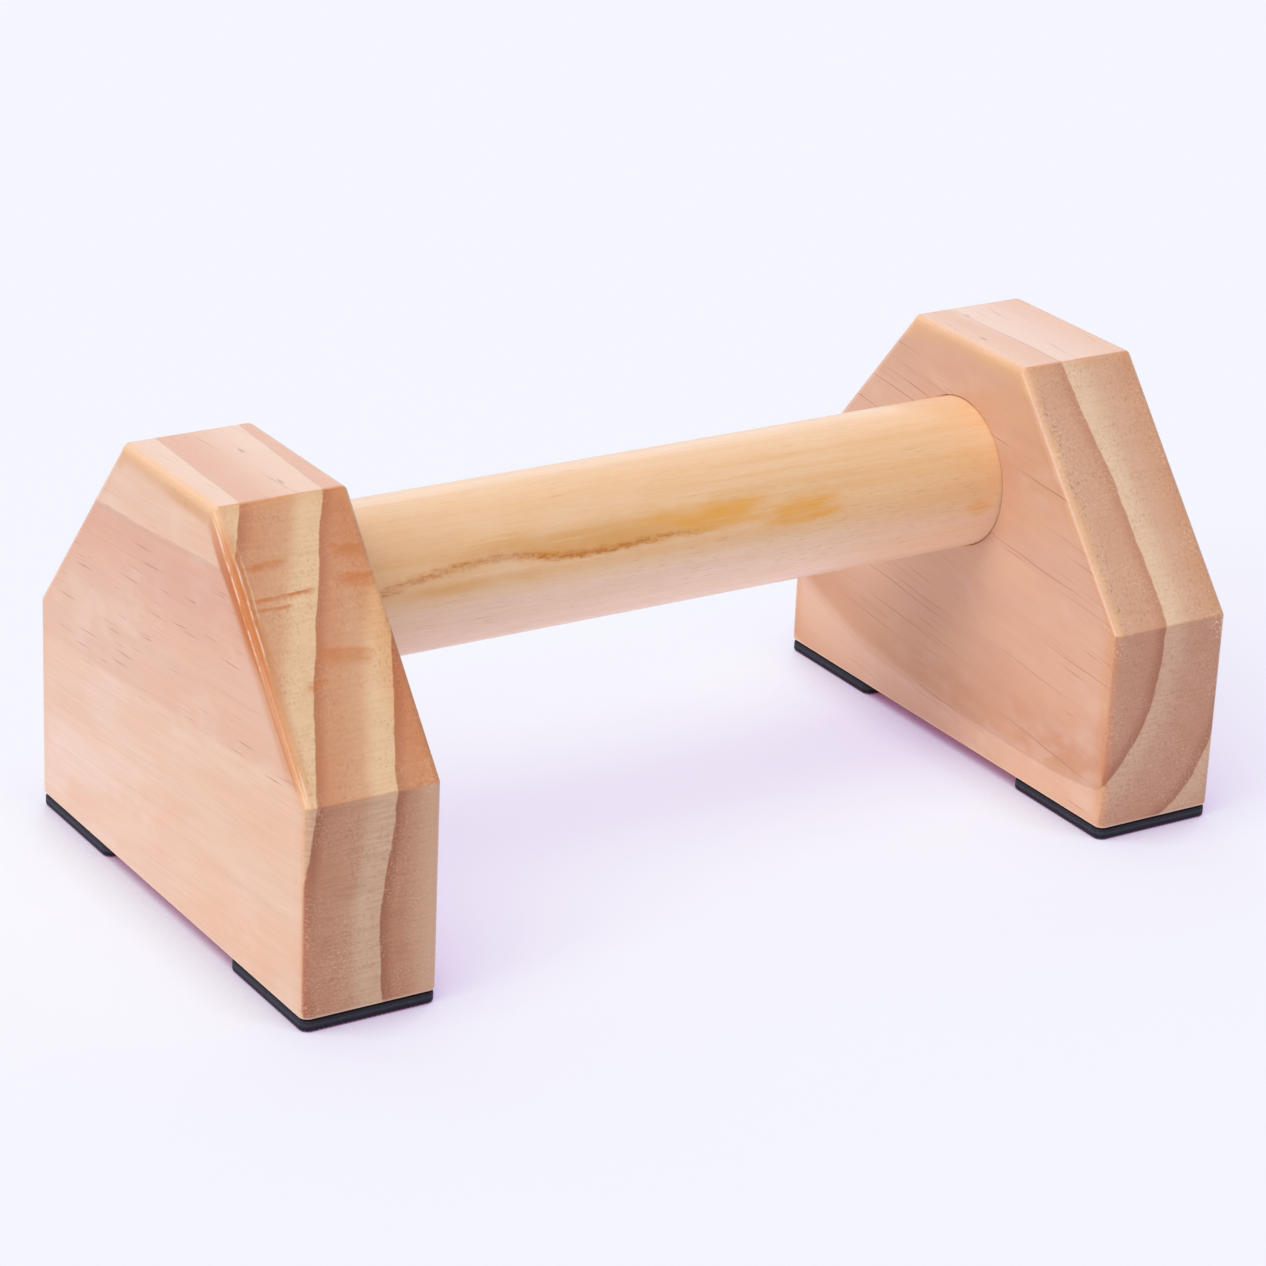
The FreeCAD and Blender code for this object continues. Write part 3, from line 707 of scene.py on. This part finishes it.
def make_pad_rubber():
    """Black anti-slip rubber: fine matt grain, a little dust, painted highlights on rims and sides, a ribbed
    sole.
    """
    material, graph, surface = start_material("foot_pad_rubber")
    place = graph.position()
    x, y, z = graph.split(place)
    _, _, up = graph.split(graph.facing())
    rib_pitch = 1.1
    speckle = graph.noise(place, (0.35, 0.35, 0.35), detail=3, roughness=0.7)
    wave = graph.maths("SINE", graph.maths("MULTIPLY", graph.maths("ADD", x, y), 2 * math.pi / rib_pitch))
    ribs = graph.product(graph.ease(wave, -0.5, 0.7), graph.ease(up, -0.9, -0.6, 1, 0))
    # A pale stripe along the pad's sides: a painted highlight.
    painted_sheen = graph.product(graph.stripe(z, 1.9, 0.8), graph.ease(speckle, 0.3, 0.7, 0.5, 1))
    dust = graph.ease(graph.noise(place, (5, 5, 2), detail=3), 0.45, 0.75)
    # Paler on the rounded rims: a painted highlight.
    rim = graph.between(graph.maths("ABSOLUTE", up), 0.3, 0.92, 0.12)
    black = graph.blend(graph.ease(speckle, 0.35, 0.7), PAD_TONES["black"], PAD_TONES["grey grain"])
    for mask, strength, tone in ((dust, 0.12, "dust"), (rim, 0.25, "rim"), (ribs, 0.4, "rib"),
                                 (painted_sheen, 0.45, "painted_sheen")):
        black = graph.blend(graph.product(mask, strength), black, PAD_TONES[tone])
    relief = graph.maths("MULTIPLY_ADD", ribs, 2, speckle)
    bump = graph.add("ShaderNodeBump", {"Height": relief, "Strength": 0.5, "Distance": 0.08 / MILLIMETRES})
    graph.tree.links.new(black, surface.inputs["Base Color"])
    graph.tree.links.new(graph.ease(dust, 0, 1, 0.58, 0.8), surface.inputs["Roughness"])
    graph.tree.links.new(bump.outputs["Normal"], surface.inputs["Normal"])
    surface.inputs["Specular IOR Level"].default_value = 0.22
    return material


def make_pad_adhesive():
    """Dark double-sided adhesive sheet, slightly tacky and uneven."""
    material, graph, surface = start_material("pad_adhesive_sheet")
    tacky = graph.noise(graph.position(), (0.9, 0.9, 0.4), detail=3)
    dark = graph.blend(graph.ease(tacky, 0.35, 0.7), PAD_TONES["adhesive"], PAD_TONES["adhesive grain"])
    graph.tree.links.new(dark, surface.inputs["Base Color"])
    graph.tree.links.new(graph.ease(tacky, 0.3, 0.7, 0.5, 0.8), surface.inputs["Roughness"])
    return material


def rounded_outline(half_width, half_length, radius):
    """Points round a rectangle with rounded corners, two to each tooth of a pad's rim."""
    corners = ((1, 1), (-1, 1), (-1, -1), (1, -1))
    corner_steps = 6
    side_steps = (48, 52)

    def on_corner(number, share):
        side, end = corners[number % 4]
        turn = math.pi / 2 * (number + share)
        middle = Vector((side * (half_width - radius), end * (half_length - radius)))
        return middle + radius * Vector((math.cos(turn), math.sin(turn)))

    points = []
    for number in range(4):
        points += [on_corner(number, step / corner_steps) for step in range(corner_steps + 1)]
        start, finish = points[-1], on_corner(number + 1, 0)
        count = side_steps[number % 2]
        points += [start.lerp(finish, step / count) for step in range(1, count)]
    return points


def make_foot_pad(node, rubber):
    """A moulded foot pad with soft rims and a toothed sole edge, in place of the plain one."""
    low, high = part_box(node)
    middle = (low + high) / 2
    half = (high - low) / 2
    corner_radius, rim_radius, rim_steps = 2.4 / MILLIMETRES, 0.7 / MILLIMETRES, 5
    notch_height, notch_length = 0.4 / MILLIMETRES, 1.2 / MILLIMETRES
    shape = bmesh.new()
    sole_inset = rim_radius + notch_length
    sole = rounded_outline(half.x - sole_inset, half.y - sole_inset, corner_radius - sole_inset)
    rings = [[shape.verts.new((middle.x + x, middle.y + y, low.z)) for x, y in sole]]
    for end in (-1, 1):
        for step in range(rim_steps + 1):
            turn = math.pi / 2 * (step if end < 0 else rim_steps - step) / rim_steps
            inset = rim_radius * (1 - math.sin(turn))
            rise = rim_radius * (1 - math.cos(turn))
            level = middle.z + end * (half.z - rise)
            notch = notch_height * (1 - rise / rim_radius) if end < 0 else 0
            outline = rounded_outline(half.x - inset, half.y - inset, corner_radius - inset)
            rings.append([shape.verts.new((middle.x + x, middle.y + y, level + notch * (place % 2)))
                          for place, (x, y) in enumerate(outline)])
    for lower, upper in zip(rings, rings[1:]):
        for here in range(len(lower)):
            ahead = (here + 1) % len(lower)
            shape.faces.new((lower[here], lower[ahead], upper[ahead], upper[here]))
    shape.faces.new(list(reversed(rings[0])))
    shape.faces.new(rings[-1])
    mesh = bpy.data.meshes.new(f"{node}_moulded")
    shape.to_mesh(mesh)
    shape.free()
    mesh.shade_smooth()
    pad = bpy.data.objects.new(f"{node}_moulded", mesh)
    bpy.context.scene.collection.objects.link(pad)
    pad.data.materials.append(rubber)
    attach(pad, "root")
    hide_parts(node)


def dress(node, material):
    """Give a CAD piece its finish."""
    mesh = nodes[node].data
    mesh.materials.clear()
    mesh.materials.append(material)


def shown_to_camera(graph):
    """1 for what the camera sees, directly or in a gloss, and 0 for the light that falls on the object."""
    rays = graph.add("ShaderNodeLightPath").outputs
    mirrored = graph.maths("MAXIMUM", rays["Is Glossy Ray"], rays["Is Transmission Ray"])
    return graph.maths("MAXIMUM", rays["Is Camera Ray"], mirrored)


def make_floor():
    """A wide pale floor, evenly bright to the camera. Its soft lilac shadow is partly cast, partly painted by
    occlusion.
    """
    half = 8
    corners = [(-half, -half, 0), (half, -half, 0), (half, half, 0), (-half, half, 0)]
    mesh = bpy.data.meshes.new("studio_floor")
    mesh.from_pydata(corners, [], [(0, 1, 2, 3)])
    floor = bpy.data.objects.new("studio_floor", mesh)
    bpy.context.scene.collection.objects.link(floor)
    material, graph, principled = start_material("studio_floor")
    material.node_tree.nodes.remove(principled)
    tones = FLOOR_TONES
    pale = graph.add("ShaderNodeBsdfDiffuse", {"Color": tones["floor"]}).outputs[0]
    light = graph.add("ShaderNodeEmission", {"Color": tones["light through"], "Strength": 0.2}).outputs[0]
    plain = graph.add("ShaderNodeAddShader", {0: pale, 1: light}).outputs[0]
    reach = {"Distance": 32 / MILLIMETRES}
    # The glow and the shadowed colour darken where ambient occlusion finds the object close by: a painted
    # contact shadow.
    open_sky = graph.add("ShaderNodeAmbientOcclusion", reach, samples=4).outputs["AO"]
    close = graph.ease(open_sky, 0.13, 0.38, 1, 0)
    lilac = graph.blend(graph.ease(open_sky, 0.1, 0.88), tones["hidden"], tones["open"])
    lilac = graph.blend(close, lilac, tones["contact"])
    shade = graph.blend(close, tones["open shade"], tones["contact shade"])
    shadowed = graph.add("ShaderNodeBsdfDiffuse", {"Color": shade}).outputs[0]
    glow = graph.add("ShaderNodeEmission", {"Color": lilac, "Strength": 1}).outputs[0]
    shown = graph.add("ShaderNodeAddShader", {0: shadowed, 1: glow}).outputs[0]
    mixed = graph.add("ShaderNodeMixShader", {0: shown_to_camera(graph), 1: plain, 2: shown}).outputs[0]
    graph.tree.links.new(mixed, material.node_tree.nodes["Material Output"].inputs["Surface"])
    mesh.materials.append(material)


def add_sun(name, towards, strength, spread, colour):
    """A soft studio light from one direction."""
    light = bpy.data.lights.new(name, "SUN")
    light.energy = strength
    light.angle = math.radians(spread)
    light.color = colour
    lamp = bpy.data.objects.new(name, light)
    lamp.rotation_euler = Vector(towards).to_track_quat("Z", "Y").to_euler()
    bpy.context.scene.collection.objects.link(lamp)


def light_studio():
    """Soft light from above and from the left, in a white room."""
    world = bpy.data.worlds.new("studio")
    world.use_nodes = True
    graph = Graph(world.node_tree)
    fill = graph.add("ShaderNodeBackground", {"Color": (0.98, 0.97, 1, 1), "Strength": 0.32}).outputs[0]
    white = graph.add("ShaderNodeBackground", {"Color": (0.92, 0.94, 1, 1), "Strength": 1}).outputs[0]
    mixed = graph.add("ShaderNodeMixShader", {0: shown_to_camera(graph), 1: fill, 2: white}).outputs[0]
    graph.tree.links.new(mixed, world.node_tree.nodes["World Output"].inputs["Surface"])
    bpy.context.scene.world = world
    add_sun("key_softbox", (-0.42, -0.10, 0.90), strength=1.65, spread=44, colour=(1, 0.985, 0.96))
    add_sun("left_window", (-0.86, -0.16, 0.48), strength=0.42, spread=18, colour=(1, 0.98, 0.96))
    add_sun("back_softbox", (0.15, 0.72, 0.68), strength=0.6, spread=70, colour=(1, 0.98, 0.98))


def place_camera():
    """Stand where the photograph was taken."""
    azimuth, elevation, roll = math.radians(-32.781), math.radians(22.493), math.radians(2.578)
    data = bpy.data.cameras.new("photo_camera")
    data.sensor_width = 36
    data.lens = 123.26
    camera = bpy.data.objects.new("photo_camera", data)
    camera.matrix_world = (Matrix.Translation((-0.556209, -0.861269, 0.474095))
                           @ Matrix.Rotation(azimuth, 4, "Z")
                           @ Matrix.Rotation(math.pi / 2 - elevation, 4, "X")
                           @ Matrix.Rotation(roll, 4, "Z"))
    bpy.context.scene.collection.objects.link(camera)
    bpy.context.scene.camera = camera


# How the growth rings of each block lie. Pairs are the front and the back of the block, or the
# start and the end of a fade. lift is how far the first ring rises along Y.
LEFT_RINGS = {
    "line": ((0, 2.8), (18, 1.6), (32, 2.6), (42, 4.3), (54, 5.8), (62, 8.0), (78, 14.1), (97, 23.2),
             (111, 29.9)),
    "straight": 5.8, "side": 1, "spacing": 22.1, "tilt": 0.038, "flattening": 0, "crowding": 1.06,
    "fade": (0.56, 0.79), "grain rise": 0.085, "pale foot": (49.8, 52), "least late": 0.5,
    "long edge": (0.5, 0.5), "soft edge": (0.06, 0.06),
}
RIGHT_RINGS = {
    "line": ((0, -12), (8, -2.4), (13, 1.5), (19, 5.6), (27, 10.6), (40, 15.1), (66, 17.3), (84, 16.4),
             (111, 13)),
    "straight": 15.1, "side": -1, "spacing": 24, "tilt": 0, "flattening": 0.5, "crowding": 1,
    "fade": (0.62, 0.94), "grain rise": -0.1, "pale foot": (-30, -20), "least late": 0,
    "long edge": (0.45, 0.1), "soft edge": (0.06, 0.15),
    "lift": ((-72, 0), (-58, -2.4), (20, -2.2), (36, -1), (52, 2.8), (64, 6.8), (72, 9.8)),
}
LEFT_DASHING = {
    "levels": (49, 97), "crowded": (53,), "amount": 0.9, "length": 40, "thickness": 0.18, "streaks": 0.25,
    "top pits": ((22.4, -15.4), (23.6, 6.8)),
}
RIGHT_DASHING = {
    "levels": (-10, 130), "crowded": (62, 90), "amount": 0.3, "length": 66, "thickness": 0.13,
    "streaks": 0.85, "top pits": ((12.7, 16.9), (5.3, -0.5)),
}
# In both tone tables, upright is a painted shade multiplied onto the upright ends.
LEFT_TONES = {
    "long pale": seen(234, 196, 168), "long late": seen(221, 165, 138), "long drift": seen(234, 182, 146),
    "long line": seen(200, 142, 116), "resin": seen(166, 90, 68), "end pale": seen(243, 205, 164),
    "end late": seen(214, 150, 111), "end ring": seen(178, 104, 68), "end pore": seen(166, 104, 68),
    "end speck": seen(242, 206, 170), "upright": (0.82, 0.79, 0.86, 1),
    "top pale": seen(238, 204, 182), "top late": seen(226, 171, 144), "long far": seen(239, 206, 188),
    "lines": 0.18, "pores": 0.32, "specks": 0.22, "worn": 0.15, "dust": 0.55, "ring edge": (0.6, 0.8),
    "coarseness": (1.25, 1.25, 1.25),
}
RIGHT_TONES = {
    "long pale": seen(225, 176, 150), "long late": seen(208, 150, 115), "long drift": seen(232, 186, 152),
    "long line": seen(190, 130, 100), "resin": seen(152, 88, 64), "end pale": seen(240, 206, 174),
    "end late": seen(216, 164, 132), "end ring": seen(190, 126, 92), "end pore": seen(160, 106, 80),
    "end speck": seen(244, 214, 188), "upright": (0.84, 0.73, 0.74, 1),
    "top pale": seen(240, 210, 194), "top late": seen(235, 190, 166), "long far": seen(230, 186, 164),
    "lines": 0.1, "pores": 0.4, "specks": 0.3, "worn": 0.4, "dust": 0.35, "ring edge": (0.5, 0.95),
    "coarseness": (1.2, 1.2, 1.2),
}
LEFT_AMBER = {"top": 0.9, "slope": 0.35, "upright": 0.25, "far side": 0.7, "rim": 0.15, "deep": 0.6}
RIGHT_AMBER = {"top": 0.85, "slope": 0.15, "upright": 0.5, "far side": 0.35, "rim": 0.7, "deep": 0.15}

# Each run's top, its drop, how steeply it falls, where it starts and ends in depth, and its strength
LACQUER_RUNS = (
    (99.8, 2.0, 0, 3.5, 14.5, 0.65), (101.0, 4.2, 0.05, 26, 36, 0.6), (93.3, 1.4, 0, 2.5, 19, 0.9),
    (91.3, 1.3, 0, 2.5, 12, 0.7), (95.4, 4.2, 0.05, 26, 36, 0.65), (82.8, 4.6, 0.1, 14.5, 28, 0.6),
    (77.2, 3.4, 0, 9.5, 14, 0.55),
)
# Each patch's middle along and round the bar, its reach both ways, and its strength
GOLD_PATCHES = (((8, 22.6), (20, 5.5), 0.9), ((35, 25.6), (15, 4.6), 1), ((91, 34), (5, 3.4), 0.45))

dress("left_end_block", make_block_pine(
    "left_block_pine", "left_end_block", LEFT_RINGS, LEFT_DASHING, LEFT_TONES, LEFT_AMBER, LACQUER_RUNS))
dress("right_end_block", make_block_pine(
    "right_block_pine", "right_end_block", RIGHT_RINGS, RIGHT_DASHING, RIGHT_TONES, RIGHT_AMBER, runs=()))
dress("grip_bar", make_bar_pine())
rubber = make_pad_rubber()
adhesive = make_pad_adhesive()
for side in ("left", "right"):
    for end in ("front", "back"):
        make_foot_pad(f"{side}_{end}_foot_pad", rubber)
        dress(f"{side}_{end}_adhesive_sheet", adhesive)

make_floor()
light_studio()
place_camera()
bpy.context.scene.view_settings.view_transform = "Standard"
